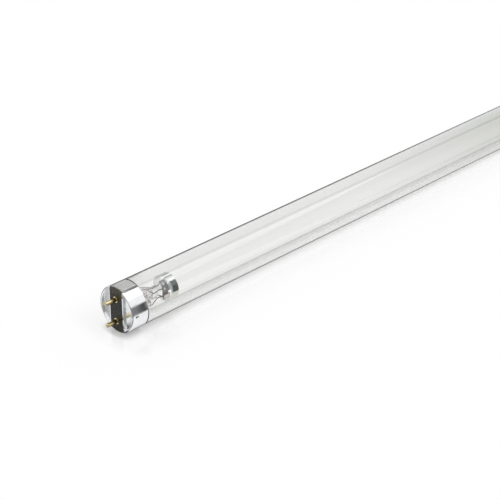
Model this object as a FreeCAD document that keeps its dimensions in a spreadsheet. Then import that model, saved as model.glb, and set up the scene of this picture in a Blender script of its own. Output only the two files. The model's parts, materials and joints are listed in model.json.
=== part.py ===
import FreeCAD, Part

import math
import os
import re

import Sketcher

# Straight lamp tube with a two-pin cap on each end, lying along X with its origin at the
# centre of the tube. Each end is drawn in a frame of its own: x runs inwards from the
# outer face of the cap, z runs along the line of the two pins.

Vector = FreeCAD.Vector

SIZES = {
    # Glass tube
    "lamp_length": 437.4,
    "tube_diameter": 26.0,
    "tube_wall": 0.9,
    "shoulder_length": 1.0,
    "tube_end_clearance": 0.9,
    "tube_end_round": 2.6,
    "seal_lip": 0.6,
    # Cap shell, drawn from thin sheet
    "shell_depth": 10.3,
    "shell_wall": 0.3,
    "bead_radius": 0.8,
    "dish_depth": 1.0,
    "lip_wall": 0.6,
    "stake_length": 2.3,
    "stake_width": 1.0,
    "stake_setback": 2.9,
    # Insulator that carries the pins
    "bar_width": 9.4,
    "bar_corner": 1.0,
    "plate_thickness": 1.9,
    # Contact pins
    "pin_spacing": 12.7,
    "pin_diameter": 2.35,
    "pin_reach": 7.1,
    "pin_tip_round": 0.5,
    "pin_shank_diameter": 2.9,
    "pin_dimple_diameter": 0.9,
    "pin_socket_diameter": 0.9,
    "pin_socket_depth": 0.35,
    "pin_collar_diameter": 3.4,
    "pin_collar_height": 0.35,
    "pin_rivet_diameter": 3.6,
    "pin_rivet_height": 0.4,
    # Cement between cap and glass
    "cement_film": 0.4,
    "cement_length": 2.5,
    "cement_inset": 0.2,
    # Glass stem with its pinched end
    "stem_wall": 0.8,
    "stem_radius": 5.8,
    "flare_length": 10.5,
    "straight_length": 3.5,
    "taper_length": 4.9,
    "press_length": 3.4,
    "press_width": 8.0,
    "press_thickness": 3.4,
    # Exhaust tube inside the stem
    "exhaust_diameter": 4.2,
    "exhaust_wall": 0.8,
    "exhaust_tip_inset": 0.9,
    "exhaust_seat_depth": 1.7,
    "exhaust_hole_inset": 0.9,
    "exhaust_hole_diameter": 1.3,
    # Lead wires
    "lead_diameter": 0.6,
    "lead_spacing": 5.8,
    "lead_bend": 1.6,
    "lead_entry": 2.0,
    "lead_slope": 7.4,
    "lead_exit": 1.8,
    "lead_overrun": 1.0,
    # Coated coil between the leads
    "filament_inset": 2.3,
    "filament_length": 9.4,
    "coil_diameter": 1.9,
    "coil_wire": 0.5,
    "coil_pitch": 0.94,
    # Shield ring round the coil, with its support wire
    "shield_diameter": 14.4,
    "shield_wall": 0.2,
    "shield_clearance": 4.9,
    "shield_width": 5.1,
    "shield_seam_angle": 13.0,
    "shield_seam_turn": 96.0,
    "support_diameter": 0.6,
    "support_root_inset": 0.2,
    "support_bend": 1.4,
    "support_exit": 1.6,
    "support_angle": 150.0,
    # Holder, capsule and wire loop, in the near end alone
    "holder_wall": 0.2,
    "holder_width": 3.9,
    "holder_top": 6.8,
    "holder_bottom": 1.15,
    "holder_gap": 0.6,
    "holder_slant": 2.1,
    "holder_tab_top": 5.0,
    "holder_tab_bottom": 2.4,
    "holder_tab_lap": 0.9,
    "capsule_diameter": 2.1,
    "capsule_length": 4.3,
    "capsule_inset": 0.5,
    "loop_wire": 0.34,
    "loop_bend": 0.5,
    # Room between pieces that seat on each other
    "seat_gap": 0.02,
}

DERIVED = {
    "half_length": "lamp_length / 2",
    "tube_radius": "tube_diameter / 2",
    "skirt_bore": "tube_radius - shell_wall",
    "neck_radius": "skirt_bore - cement_film",
    "seal_radius": "neck_radius - tube_end_round - seal_lip",
    "shoulder_start": "shell_depth + seat_gap",
    "shoulder_middle": "shoulder_start + shoulder_length / 2",
    "shoulder_end": "shoulder_start + shoulder_length",
    "shoulder_rise": "(tube_radius - neck_radius) / 2",
    "shoulder_round": "(shoulder_length * shoulder_length / 4 + shoulder_rise * shoulder_rise)"
                      " / (2 * shoulder_rise)",
    "bead_centre": "tube_radius - bead_radius",
    "bead_bore": "bead_radius - shell_wall",
    "dish_back": "dish_depth + shell_wall",
    "channel_half": "bar_width / 2 + seat_gap",
    "bar_radius": "tube_radius - seat_gap",
    "plate_radius": "skirt_bore - seat_gap",
    "insulator_back": "dish_back + seat_gap + plate_thickness",
    "pin_radius": "pin_diameter / 2",
    "pin_back": "insulator_back + seat_gap + pin_rivet_height",
    "pin_socket_end": "pin_back - pin_socket_depth",
    "pin_dimple": "pin_dimple_diameter / 2",
    "pin_socket": "pin_socket_diameter / 2",
    "cement_end": "shell_depth - cement_inset",
    "cement_start": "cement_end - cement_length",
    "tube_end_setback": "pin_back + tube_end_clearance",
    "stem_rim": "seal_radius - seat_gap",
    "flare_end": "tube_end_setback + flare_length",
    "flare_rise": "stem_rim - stem_radius",
    "flare_round": "(flare_length * flare_length + flare_rise * flare_rise) / (2 * flare_rise)",
    "flare_centre": "stem_radius + flare_round",
    "flare_inner_round": "flare_round + stem_wall",
    "flare_inner_rim": "flare_centre - sqrt(flare_inner_round * flare_inner_round"
                       " - flare_length * flare_length)",
    "stem_bore": "stem_radius - stem_wall",
    "stem_straight_end": "flare_end + straight_length",
    "press_start": "stem_straight_end + taper_length",
    "press_end": "press_start + press_length",
    "wire_hole_start": "stem_straight_end - stem_wall",
    "exhaust_radius": "exhaust_diameter / 2",
    "exhaust_bore": "exhaust_radius - exhaust_wall",
    "exhaust_tip": "tube_end_setback + exhaust_tip_inset",
    "exhaust_root": "stem_straight_end + exhaust_seat_depth",
    "exhaust_hole_setback": "exhaust_root + exhaust_hole_inset",
    "lead_radius": "lead_diameter / 2",
    "lead_spread": "filament_length / 2 + lead_radius",
    "lead_start": "pin_socket_end + seat_gap",
    "lead_turn_in": "pin_back + lead_entry",
    "lead_straight": "lead_turn_in + lead_slope",
    "lead_turn_out": "press_end + lead_exit",
    "lead_end": "filament_setback + lead_overrun",
    "filament_setback": "shield_front + filament_inset",
    "shield_front": "press_end + shield_clearance",
    "shield_outer": "shield_diameter / 2",
    "shield_inner": "shield_outer - shield_wall",
    "shield_back": "shield_front + shield_width",
    "support_radius": "support_diameter / 2",
    "support_root": "press_start + support_root_inset",
    "support_start": "support_root + seat_gap",
    "support_turn_out": "press_end + support_exit",
    "support_line": "shield_inner - support_radius - seat_gap",
    "holder_inner": "shield_outer + seat_gap",
    "holder_outer": "holder_inner + holder_wall",
    "holder_top_setback": "shield_front - holder_gap - holder_width",
    "holder_foot_setback": "holder_top_setback - holder_slant",
    "capsule_setback": "holder_foot_setback + capsule_inset",
    "loop_radius": "loop_wire / 2",
    "holder_corner": "sqrt(holder_outer * holder_outer - holder_bottom * holder_bottom)",
    "loop_line": "holder_corner + loop_radius + seat_gap",
    "capsule_radius": "capsule_diameter / 2",
    "loop_half": "capsule_radius + loop_radius + seat_gap",
    "loop_top": "holder_bottom + loop_radius",
    "capsule_line": "loop_top - loop_half",
    "loop_front": "capsule_setback - loop_radius - seat_gap",
    "loop_back": "capsule_setback + capsule_length + loop_radius + seat_gap",
}

ENDS = (("near", -1, 0), ("far", 1, 180))


def bound(formula):
    """Returns a formula with each size's name written as a reference to its cell."""

    def reference(match):
        word = match.group(0)
        if word in SIZES:
            return "Sizes." + word
        if word in DERIVED:
            return "(" + bound(DERIVED[word]) + ")"
        return word

    return re.sub(r"[a-z][a-z_]+", reference, str(formula))


class Builder:
    """Holds the document, its sheet of sizes and the bodies made from them."""

    def __init__(self):
        self.document = FreeCAD.newDocument("LampTube")
        self.sheet = self.document.addObject("Spreadsheet::Sheet", "Sizes")
        for row, (alias, value) in enumerate(SIZES.items(), start=1):
            self.sheet.set(f"A{row}", alias)
            self.sheet.set(f"B{row}", str(value))
            self.sheet.setAlias(f"B{row}", alias)
        self.document.recompute()
        self.bodies = []

    def value(self, formula):
        """Returns the present value of a formula."""
        return float(self.sheet.evalExpression(bound(formula)))

    def body(self, label, side=0, turn=0, x=0, y=0, z=0):
        """Returns a new body whose frame stands at an end of the lamp and faces inwards."""
        body = self.document.addObject("PartDesign::Body", label)
        body.Label = label
        body.Placement.Rotation = FreeCAD.Rotation(Vector(0, 0, 1), turn)
        inwards = 1 if turn == 0 else -1
        body.setExpression("Placement.Base.x", bound(f"{side} * half_length + {inwards} * ({x})"))
        body.setExpression("Placement.Base.y", bound(f"{inwards} * ({y})"))
        body.setExpression("Placement.Base.z", bound(z))
        self.bodies.append(body)
        return body

    def sketch(self, body, name, plane, offset=0, tilt=0):
        """Returns a sketch on a plane of the body, moved along its normal or tilted about X."""
        sketch = body.newObject("Sketcher::SketchObject", name)
        role = plane + "_Plane"
        feature = next(item for item in body.Origin.OriginFeatures if item.Role == role)
        sketch.AttachmentSupport = [(feature, "")]
        sketch.MapMode = "FlatFace"
        sketch.AttachmentOffset = FreeCAD.Placement(
            Vector(0, 0, self.value(offset)), FreeCAD.Rotation(Vector(1, 0, 0), self.value(tilt)))
        sketch.setExpression("AttachmentOffset.Base.z", bound(offset))
        if tilt:
            sketch.setExpression("AttachmentOffset.Rotation.Angle", bound(tilt))
        return sketch

    def pin_point(self, sketch, geometry, end, x, y):
        """Holds one end of a line or arc at a place given by two formulas."""
        for kind, formula in (("DistanceX", x), ("DistanceY", y)):
            constraint = Sketcher.Constraint(kind, -1, 1, geometry, end, self.value(formula))
            index = sketch.addConstraint(constraint)
            sketch.setExpression(f"Constraints[{index}]", bound(formula))

    def hold_radius(self, sketch, geometry, radius):
        """Holds the radius of an arc or circle at a formula."""
        index = sketch.addConstraint(Sketcher.Constraint("Radius", geometry, self.value(radius)))
        sketch.setExpression(f"Constraints[{index}]", bound(radius))

    def circle(self, sketch, x, y, radius):
        """Draws a circle."""
        centre = Vector(self.value(x), self.value(y), 0)
        circle = Part.Circle(centre, Vector(0, 0, 1), self.value(radius))
        geometry = sketch.addGeometry(circle, False)
        self.pin_point(sketch, geometry, 3, x, y)
        self.hold_radius(sketch, geometry, radius)

    def ellipse(self, sketch, across, along):
        """Draws an ellipse about the sketch's origin with its long axis along the sketch's y."""
        ellipse = Part.Ellipse(Vector(0, self.value(along), 0), Vector(-self.value(across), 0, 0),
                               Vector(0, 0, 0))
        geometry = sketch.addGeometry(ellipse, False)
        sketch.exposeInternalGeometry(geometry)
        self.pin_point(sketch, geometry, 3, 0, 0)
        major, minor = geometry + 1, geometry + 2
        sketch.addConstraint(Sketcher.Constraint("Vertical", major))
        for line, length in ((major, along), (minor, across)):
            index = sketch.addConstraint(
                Sketcher.Constraint("Distance", line, 2 * self.value(length)))
            sketch.setExpression(f"Constraints[{index}]", bound(f"2 * ({length})"))

    def outline(self, sketch, *corners):
        """Draws a closed outline through corners.

        A corner is (x, y) where a line arrives, or (x, y, radius, turn) where an arc does,
        with a turn of 1 to the left and -1 to the right.
        """
        points = [Vector(self.value(corner[0]), self.value(corner[1]), 0) for corner in corners]
        pieces = []
        for index, corner in enumerate(corners):
            start, end = points[index - 1], points[index]
            if len(corner) == 2:
                geometry = sketch.addGeometry(Part.LineSegment(start, end), False)
                pieces.append((geometry, 1, 2))
                continue
            radius, turn = corner[2], corner[3]
            geometry = sketch.addGeometry(arc_between(start, end, self.value(radius), turn), False)
            self.hold_radius(sketch, geometry, radius)
            pieces.append((geometry, 1, 2) if turn > 0 else (geometry, 2, 1))
        for index, corner in enumerate(corners):
            geometry, _, end = pieces[index]
            following, start, _ = pieces[(index + 1) % len(pieces)]
            sketch.addConstraint(Sketcher.Constraint("Coincident", geometry, end, following, start))
            self.pin_point(sketch, geometry, end, corner[0], corner[1])

    def path(self, sketch, bend, *corners, closed=False):
        """Draws straight runs between corners, joined by tangent arcs of one radius."""
        points = [Vector(self.value(x), self.value(y), 0) for x, y in corners]
        count = len(points)
        turning = range(count) if closed else range(1, count - 1)
        arcs = {i: tangent_arc(points[i - 1], points[i], points[(i + 1) % count], self.value(bend))
                for i in turning}
        runs = range(count) if closed else range(count - 1)
        lines = {}
        for i in runs:
            after = (i + 1) % count
            start = arcs[i][2] if i in arcs else points[i]
            end = arcs[after][1] if after in arcs else points[after]
            lines[i] = sketch.addGeometry(Part.LineSegment(start, end), False)
        for i, (arc, _, _, turn) in arcs.items():
            geometry = sketch.addGeometry(arc, False)
            before, after = lines[(i - 1) % count], lines[i]
            first, last = (1, 2) if turn > 0 else (2, 1)
            sketch.addConstraint(Sketcher.Constraint("Tangent", before, 2, geometry, first))
            sketch.addConstraint(Sketcher.Constraint("Tangent", after, 1, geometry, last))
            self.hold_radius(sketch, geometry, bend)
            corner = sketch.addGeometry(Part.Point(points[i]), True)
            self.pin_point(sketch, corner, 1, *corners[i])
            sketch.addConstraint(Sketcher.Constraint("PointOnObject", corner, 1, before))
            sketch.addConstraint(Sketcher.Constraint("PointOnObject", corner, 1, after))
        if not closed:
            self.pin_point(sketch, lines[0], 1, *corners[0])
            self.pin_point(sketch, lines[count - 2], 2, *corners[-1])

    def revolve(self, body, name, *corners, tilt=0, angle=None):
        """Turns an outline of (distance inwards, radius) corners about the tube's axis."""
        sketch = self.sketch(body, name + "Profile", "XY", tilt=tilt)
        self.outline(sketch, *corners)
        feature = body.newObject("PartDesign::Revolution", name)
        feature.Profile = sketch
        feature.ReferenceAxis = (sketch, ["H_Axis"])
        if angle is None:
            feature.Angle = 360
        else:
            feature.setExpression("Angle", bound(angle))
        return feature

    def pad(self, body, name, sketch, length):
        """Raises a sketch along its plane's normal."""
        feature = body.newObject("PartDesign::Pad", name)
        feature.Profile = sketch
        feature.setExpression("Length", bound(length))
        return feature

    def pocket(self, body, name, sketch, length=None):
        """Cuts a sketch away along its plane's normal, or right through both ways."""
        feature = body.newObject("PartDesign::Pocket", name)
        feature.Profile = sketch
        if length is None:
            feature.Type = "ThroughAll"
            feature.Midplane = True
        else:
            feature.Reversed = True
            feature.setExpression("Length", bound(length))
        return feature

    def pipe(self, body, name, profile, spine):
        """Carries a profile along a spine."""
        feature = body.newObject("PartDesign::AdditivePipe", name)
        feature.Profile = profile
        edges = [f"Edge{i + 1}" for i in range(len(spine.Shape.Edges))]
        feature.Spine = (spine, edges)
        feature.Transition = "Right corner"
        return feature

    def finish(self, body, feature):
        """Shows the last feature's solid as the body's."""
        body.Tip = feature
        self.document.recompute()

    def write(self):
        """Checks every object and writes one file for each body."""
        self.document.recompute()
        for item in self.document.Objects:
            if {"Invalid", "Error"} & set(item.State):
                raise RuntimeError(f"{item.Label} failed: {item.State} {item.getStatusString()}")
        for body in self.bodies:
            shape = body.Shape
            if shape.isNull() or not shape.isValid() or len(shape.Solids) != 1:
                raise RuntimeError(f"{body.Label} is not one valid solid")
        os.makedirs("parts", exist_ok=True)
        for body in self.bodies:
            body.Shape.exportStep(f"parts/{body.Label}.step")
            print(f"{body.Label}: {body.Shape.Volume:.3f} mm3")


def arc_between(start, end, radius, turn):
    """Returns the short arc from start to end, turning left for 1 and right for -1."""
    chord = end - start
    middle = (start + end) * 0.5
    height = math.sqrt(max(radius * radius - (chord.Length / 2) ** 2, 0))
    left = Vector(-chord.y, chord.x, 0).normalize()
    centre = middle + left * (height * turn)
    first, last = (start, end) if turn > 0 else (end, start)
    circle = Part.Circle(centre, Vector(0, 0, 1), radius)
    return Part.ArcOfCircle(circle, circle.parameter(first), circle.parameter(last))


def tangent_arc(before, corner, after, radius):
    """Returns the arc that rounds a corner, its two ends and the way that it turns."""
    arriving = (corner - before).normalize()
    leaving = (after - corner).normalize()
    turn = 1 if arriving.x * leaving.y - arriving.y * leaving.x > 0 else -1
    setback = radius * math.tan(arriving.getAngle(leaving) / 2)
    start, end = corner - arriving * setback, corner + leaving * setback
    return arc_between(start, end, radius, turn), start, end, turn


def edges_where(feature, test):
    """Returns the names of the edges of a feature that pass a test."""
    return [f"Edge{i + 1}" for i, edge in enumerate(feature.Shape.Edges) if test(edge)]


def with_far_end(corners):
    """Returns the near end's corners followed by their mirror images at the far end."""
    mirrored = []
    for index in reversed(range(len(corners))):
        along, radius = corners[index][:2]
        arc = corners[index + 1][2:] if index + 1 < len(corners) else ()
        mirrored.append((f"lamp_length - ({along})", radius, *arc))
    return (*corners, *mirrored)


def make_glass_tube(builder):
    """One drawn tube, narrowed under each cap and turned in to meet the stem."""
    body = builder.body("glass_tube", side=-1)
    round_bore = "tube_end_round - tube_wall"
    near_end = (
        ("shoulder_end", "tube_radius - tube_wall"),
        ("shoulder_middle", "neck_radius - tube_wall + shoulder_rise", "shoulder_round", 1),
        ("shoulder_start", "neck_radius - tube_wall", "shoulder_round", -1),
        ("tube_end_setback + tube_end_round", "neck_radius - tube_wall"),
        ("tube_end_setback + tube_wall", "neck_radius - tube_end_round", round_bore, 1),
        ("tube_end_setback + tube_wall", "seal_radius"),
        ("tube_end_setback", "seal_radius"),
        ("tube_end_setback", "neck_radius - tube_end_round"),
        ("tube_end_setback + tube_end_round", "neck_radius", "tube_end_round", -1),
        ("shoulder_start", "neck_radius"),
        ("shoulder_middle", "neck_radius + shoulder_rise", "shoulder_round", 1),
        ("shoulder_end", "tube_radius", "shoulder_round", -1))
    builder.finish(body, builder.revolve(body, "Tube", *with_far_end(near_end)))


def make_cap_shell(builder, end, side, turn):
    """Sheet cup with a rolled bead, two dished segments and a channel for the insulator."""
    body = builder.body(f"{end}_cap_shell", side, turn)
    dish_edge = "bead_centre - bead_radius"
    builder.revolve(
        body, "Cup",
        ("dish_depth", 0),
        ("dish_back", 0),
        ("dish_back", "bead_centre - bead_bore"),
        ("bead_radius", "bead_centre - bead_bore"),
        ("shell_wall", "bead_centre", "bead_bore", -1),
        ("bead_radius", "skirt_bore", "bead_bore", -1),
        ("shell_depth", "skirt_bore"),
        ("shell_depth", "tube_radius"),
        ("bead_radius", "tube_radius"),
        (0, "bead_centre", "bead_radius", 1),
        ("bead_radius", dish_edge, "bead_radius", 1),
        ("dish_depth", dish_edge))
    lips = builder.sketch(body, "LipProfile", "YZ")
    inner, outer = "channel_half", "channel_half + lip_wall"
    reach = "sqrt(bead_centre * bead_centre - (channel_half + lip_wall) * (channel_half + lip_wall))"
    for near, far in ((inner, outer), (f"-({outer})", f"-({inner})")):
        builder.outline(lips, (near, f"-{reach}"), (far, f"-{reach}"), (far, reach), (near, reach))
    builder.pad(body, "Lips", lips, "dish_back")
    channel = builder.sketch(body, "ChannelProfile", "YZ")
    wide, tall = "channel_half", "tube_diameter"
    builder.outline(channel, (f"-({wide})", f"-{tall}"), (wide, f"-{tall}"), (wide, tall),
                    (f"-({wide})", tall))
    builder.pocket(body, "Channel", channel, "dish_back")
    stakes = builder.sketch(body, "StakeProfile", "XZ")
    half, run = "stake_width / 2", "(stake_length - stake_width) / 2"
    builder.outline(stakes,
                    (f"stake_setback - {run}", f"-({half})", half, 1),
                    (f"stake_setback + {run}", f"-({half})"),
                    ("stake_setback + stake_length / 2", 0, half, 1),
                    (f"stake_setback + {run}", half, half, 1),
                    (f"stake_setback - {run}", half),
                    ("stake_setback - stake_length / 2", 0, half, 1))
    builder.finish(body, builder.pocket(body, "Stakes", stakes))


def make_pin_insulator(builder, end, side, turn):
    """Moulded plate behind the cap's face, with a bar that fills the channel."""
    body = builder.body(f"{end}_pin_insulator", side, turn)
    half = "bar_width / 2"
    for name, radius, length in (("Rib", "plate_radius", "insulator_back"),
                                 ("Bar", "bar_radius", "dish_back - seat_gap")):
        sketch = builder.sketch(body, name + "Profile", "YZ")
        reach = f"sqrt({radius} * {radius} - bar_width * bar_width / 4)"
        builder.outline(sketch,
                        (half, f"-{reach}", radius, 1),
                        (half, reach),
                        (f"-({half})", reach, radius, 1),
                        (f"-({half})", f"-{reach}"))
        bar = builder.pad(body, name, sketch, length)
    builder.document.recompute()
    limit = builder.value("bar_radius")
    rounds = body.newObject("PartDesign::Fillet", "BarEnds")
    rounds.Base = (bar, edges_where(bar, lambda edge: isinstance(edge.Curve, Part.Circle)
                                    and abs(edge.Curve.Radius - limit) < 1e-6
                                    and abs(edge.CenterOfMass.x) < 1e-6))
    rounds.setExpression("Radius", bound("bar_corner"))
    plate = builder.sketch(body, "PlateProfile", "YZ", offset="dish_back + seat_gap")
    builder.circle(plate, 0, 0, "plate_radius")
    builder.pad(body, "Plate", plate, "plate_thickness")
    holes = builder.sketch(body, "PinHoles", "YZ")
    for sign in ("", "-"):
        builder.circle(holes, 0, f"{sign}pin_spacing / 2", "pin_shank_diameter / 2 + seat_gap")
    builder.finish(body, builder.pocket(body, "Holes", holes))


def make_pin(builder, end, side, turn, level, sign):
    """Turned pin with a dimpled tip, a collar, a thicker shank and a riveted rim with a socket."""
    body = builder.body(f"{end}_{level}_pin", side, turn, z=f"{sign} * pin_spacing / 2")
    tip = "-(pin_reach)"
    feature = builder.revolve(
        body, "Pin",
        (f"{tip} + pin_dimple", 0, "pin_dimple", -1),
        ("pin_socket_end", 0),
        ("pin_socket_end", "pin_socket"),
        ("pin_back", "pin_socket"),
        ("pin_back", "pin_rivet_diameter / 2"),
        ("insulator_back + seat_gap", "pin_rivet_diameter / 2"),
        ("insulator_back + seat_gap", "pin_shank_diameter / 2"),
        ("-seat_gap", "pin_shank_diameter / 2"),
        ("-seat_gap", "pin_collar_diameter / 2"),
        ("-seat_gap - pin_collar_height", "pin_collar_diameter / 2"),
        ("-seat_gap - pin_collar_height", "pin_radius"),
        (f"{tip} + pin_tip_round", "pin_radius"),
        (tip, "pin_radius - pin_tip_round", "pin_tip_round", 1),
        (tip, "pin_dimple"))
    builder.finish(body, feature)


def make_basing_cement(builder, end, side, turn):
    """Ring of cement that holds the cap on the narrowed glass."""
    body = builder.body(f"{end}_basing_cement", side, turn)
    feature = builder.revolve(
        body, "Ring",
        ("cement_start", "neck_radius + seat_gap"),
        ("cement_end", "neck_radius + seat_gap"),
        ("cement_end", "skirt_bore - seat_gap"),
        ("cement_start", "skirt_bore - seat_gap"))
    builder.finish(body, feature)


def make_stem(builder, end, side, turn):
    """Flared glass tube, pinched flat at its inner end round the three wires."""
    body = builder.body(f"{end}_stem", side, turn)
    builder.revolve(
        body, "Flare",
        ("tube_end_setback", 0),
        ("stem_straight_end", 0),
        ("stem_straight_end", "stem_radius"),
        ("flare_end", "stem_radius"),
        ("tube_end_setback", "stem_rim", "flare_round", -1))
    round_end = builder.sketch(body, "TaperStart", "YZ", offset="stem_straight_end")
    builder.circle(round_end, 0, 0, "stem_radius")
    flat_end = builder.sketch(body, "TaperEnd", "YZ", offset="press_start")
    builder.ellipse(flat_end, "press_thickness / 2", "press_width / 2")
    builder.document.recompute()
    taper = body.newObject("PartDesign::AdditiveLoft", "Taper")
    taper.Profile = round_end
    taper.Sections = [flat_end]
    builder.document.recompute()
    press = builder.sketch(body, "PressProfile", "YZ", offset="press_start")
    builder.ellipse(press, "press_thickness / 2", "press_width / 2")
    builder.pad(body, "Press", press, "press_end - press_start")
    builder.document.recompute()
    cavity = builder.sketch(body, "CavityProfile", "XY")
    builder.outline(
        cavity,
        ("tube_end_setback", 0),
        ("exhaust_hole_setback + exhaust_bore", 0),
        ("exhaust_hole_setback", "exhaust_bore", "exhaust_bore", 1),
        ("exhaust_root + seat_gap", "exhaust_bore"),
        ("exhaust_root + seat_gap", "exhaust_radius + seat_gap"),
        ("stem_straight_end", "exhaust_radius + seat_gap"),
        ("stem_straight_end", "stem_bore"),
        ("flare_end", "stem_bore"),
        ("tube_end_setback", "flare_inner_rim", "flare_inner_round", -1))
    groove = body.newObject("PartDesign::Groove", "Cavity")
    groove.Profile = cavity
    groove.ReferenceAxis = (cavity, ["H_Axis"])
    groove.Angle = 360
    builder.document.recompute()
    wires = builder.sketch(body, "WireHoles", "YZ", offset="wire_hole_start")
    for sign in ("", "-"):
        builder.circle(wires, 0, f"{sign}lead_spacing / 2", "lead_radius + seat_gap")
    builder.pocket(body, "Wires", wires, "press_end - wire_hole_start + stem_wall")
    support = builder.sketch(body, "SupportHole", "YZ", offset="support_root")
    builder.circle(support, 0, 0, "support_radius + seat_gap")
    builder.pocket(body, "Support", support, "press_length")
    vent = builder.sketch(body, "VentProfile", "XZ")
    builder.circle(vent, "exhaust_hole_setback", 0, "exhaust_hole_diameter / 2")
    opening = builder.pocket(body, "Vent", vent, "stem_radius")
    builder.finish(body, opening)


def make_exhaust_tube(builder, end, side, turn):
    """Thin glass tube that the lamp was pumped through, melted shut at its outer end."""
    body = builder.body(f"{end}_exhaust_tube", side, turn)
    tip_end = "exhaust_tip + exhaust_radius"
    inner_end = "exhaust_tip + exhaust_wall"
    feature = builder.revolve(
        body, "Tube",
        ("exhaust_tip", 0, "exhaust_radius", 1),
        (inner_end, 0),
        (f"{inner_end} + exhaust_bore", "exhaust_bore", "exhaust_bore", -1),
        ("exhaust_root", "exhaust_bore"),
        ("exhaust_root", "exhaust_radius"),
        (tip_end, "exhaust_radius"))
    builder.finish(body, feature)


def make_lead(builder, end, side, turn, level, sign):
    """Wire from the socket of a pin through the press to one end of the coil."""
    body = builder.body(f"{end}_{level}_lead", side, turn)
    at_pin, at_press = f"{sign} * pin_spacing / 2", f"{sign} * lead_spacing / 2"
    at_coil = f"{sign} * lead_spread"
    spine = builder.sketch(body, "Route", "XZ")
    builder.path(
        spine, "lead_bend",
        ("lead_start", at_pin),
        ("lead_turn_in", at_pin),
        ("lead_straight", at_press),
        ("lead_turn_out", at_press),
        ("shield_front", at_coil),
        ("lead_end", at_coil))
    section = builder.sketch(body, "Section", "YZ", offset="lead_start")
    builder.circle(section, 0, at_pin, "lead_radius")
    builder.document.recompute()
    builder.finish(body, builder.pipe(body, "Wire", section, spine))


def make_filament(builder, end, side, turn):
    """Coated coil across the lamp, between the ends of the leads."""
    body = builder.body(f"{end}_filament", side, turn, x="filament_setback",
                        z="-(filament_length / 2) + coil_wire / 2 + seat_gap")
    section = builder.sketch(body, "Section", "XZ")
    builder.circle(section, "(coil_diameter - coil_wire) / 2", 0, "coil_wire / 2")
    builder.document.recompute()
    coil = body.newObject("PartDesign::AdditiveHelix", "Coil")
    coil.Profile = section
    coil.ReferenceAxis = (section, ["V_Axis"])
    coil.Mode = "pitch-height-angle"
    coil.setExpression("Pitch", bound("coil_pitch"))
    coil.setExpression("Height", bound("filament_length - coil_wire - 2 * seat_gap"))
    builder.finish(body, coil)


def make_shield(builder, end, side, turn):
    """Strip rolled into a ring round the coil, open at a narrow seam."""
    body = builder.body(f"{end}_cathode_shield", side, turn)
    feature = builder.revolve(
        body, "Ring",
        ("shield_front", "shield_inner"),
        ("shield_back", "shield_inner"),
        ("shield_back", "shield_outer"),
        ("shield_front", "shield_outer"),
        tilt="shield_seam_turn + shield_seam_angle / 2", angle="360 - shield_seam_angle")
    builder.finish(body, feature)


def make_shield_support(builder, end, side, turn):
    """Wire from the middle of the press to the inside of the shield ring."""
    body = builder.body(f"{end}_shield_support", side, turn)
    spine = builder.sketch(body, "Route", "XY", tilt="support_angle")
    builder.path(
        spine, "support_bend",
        ("support_start", 0),
        ("support_turn_out", 0),
        ("shield_front", "support_line"),
        ("shield_back", "support_line"))
    section = builder.sketch(body, "Section", "YZ", offset="support_start")
    builder.circle(section, 0, 0, "support_radius")
    builder.document.recompute()
    builder.finish(body, builder.pipe(body, "Wire", section, spine))


def make_capsule_holder(builder, end, side, turn):
    """Slanted strip on the shield's near side, with a tab that laps the ring."""
    body = builder.body(f"{end}_capsule_holder", side, turn)
    lap = "shield_front + holder_tab_lap"
    builder.revolve(
        body, "Sleeve",
        ("holder_foot_setback", "holder_inner"),
        (lap, "holder_inner"),
        (lap, "holder_outer"),
        ("holder_foot_setback", "holder_outer"),
        tilt=90, angle="180")
    fall = "(holder_top - holder_bottom)"
    slant_at_tab_top = f"holder_slant * (holder_top - holder_tab_top) / {fall}"
    slant_at_tab_bottom = f"holder_slant * (holder_top - holder_tab_bottom) / {fall}"
    back = "holder_top_setback + holder_width"
    trim = builder.sketch(body, "TrimProfile", "XZ")
    far = "shield_back"
    builder.outline(trim, (0, "-(holder_outer + 1)"), (far, "-(holder_outer + 1)"),
                    (far, "holder_outer + 1"), (0, "holder_outer + 1"))
    builder.outline(
        trim,
        ("holder_top_setback", "holder_top"),
        ("holder_foot_setback", "holder_bottom"),
        ("holder_foot_setback + holder_width", "holder_bottom"),
        (f"{back} - {slant_at_tab_bottom}", "holder_tab_bottom"),
        (lap, "holder_tab_bottom"),
        (lap, "holder_tab_top"),
        (f"{back} - {slant_at_tab_top}", "holder_tab_top"),
        (back, "holder_top"))
    builder.finish(body, builder.pocket(body, "Trim", trim))


def make_mercury_capsule(builder, end, side, turn):
    """Small closed glass capsule that once held the mercury."""
    body = builder.body(f"{end}_mercury_capsule", side, turn, x="capsule_setback",
                        y="-(loop_line)", z="capsule_line")
    dome = "capsule_radius"
    feature = builder.revolve(
        body, "Capsule",
        (0, 0, dome, 1),
        ("capsule_length", 0),
        (f"capsule_length - {dome}", dome, dome, 1),
        (dome, dome))
    builder.finish(body, feature)


def make_capsule_loop(builder, end, side, turn):
    """Closed wire loop round the capsule, lying on the lower edge of its holder."""
    body = builder.body(f"{end}_capsule_loop", side, turn, y="-(loop_line)")
    spine = builder.sketch(body, "Route", "XZ")
    middle = "(loop_front + loop_back) / 2"
    low = "capsule_line - loop_half"
    builder.path(spine, "loop_bend",
                 ("loop_front", low), ("loop_back", low),
                 ("loop_back", "loop_top"), ("loop_front", "loop_top"), closed=True)
    section = builder.sketch(body, "Section", "YZ", offset=middle)
    builder.circle(section, 0, low, "loop_radius")
    builder.document.recompute()
    builder.finish(body, builder.pipe(body, "Wire", section, spine))


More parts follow.
